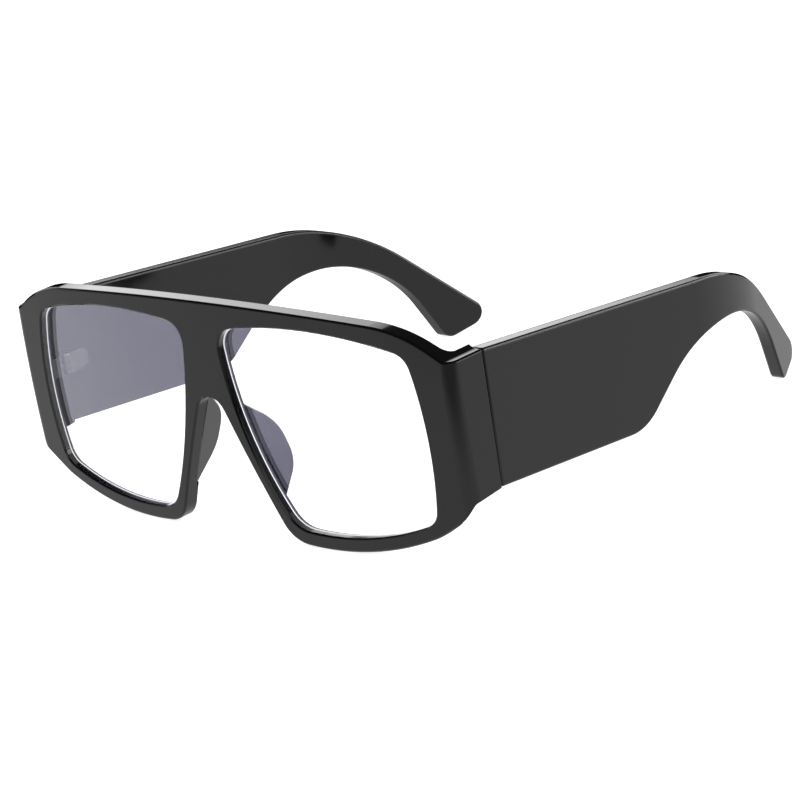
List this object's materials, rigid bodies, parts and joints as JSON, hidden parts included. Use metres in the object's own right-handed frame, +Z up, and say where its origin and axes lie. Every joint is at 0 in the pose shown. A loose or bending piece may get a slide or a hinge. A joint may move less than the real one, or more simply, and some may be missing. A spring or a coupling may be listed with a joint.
{
  "type": "glasses",
  "caption": "Oversized wraparound glasses with clear coated lenses, wide flat temples that fold on barrel hinges, and curved ear hooks.",
  "frame": {"origin": "on the floor, in the middle of the box round the open glasses", "axes": "+X to the wearer's left, +Y from the front to the ear hooks, +Z up"},
  "size_m": [0.1448, 0.1452, 0.0576],
  "materials": {
    "frame_plastic": "polished black",
    "lens_glass": "clear with a violet blue coating",
    "hinge_metal": "nickel plated",
    "screw_metal": "plain steel"
  },
  "bodies": {
    "front": {"front_frame": "frame_plastic", "lens_left": "lens_glass", "nose_pad_left": "frame_plastic", "front_hinge_left": "hinge_metal", "hinge_screw_left": "screw_metal", "lens_right": "lens_glass", "nose_pad_right": "frame_plastic", "front_hinge_right": "hinge_metal", "hinge_screw_right": "screw_metal"},
    "temple_left": {"temple_left": "frame_plastic", "temple_hinge_left": "hinge_metal"},
    "temple_right": {"temple_right": "frame_plastic", "temple_hinge_right": "hinge_metal"}
  },
  "joints": [
    {"name": "temple_left_fold", "type": "hinge", "parent": "front", "child": "temple_left", "pos_m": [0.0681, -0.05532, 0.0303], "axis": [0, 0, 1], "range_deg": [0, 84]},
    {"name": "temple_right_fold", "type": "hinge", "parent": "front", "child": "temple_right", "pos_m": [-0.0681, -0.05532, 0.0303], "axis": [0, 0, -1], "range_deg": [0, 75]}
  ]
}
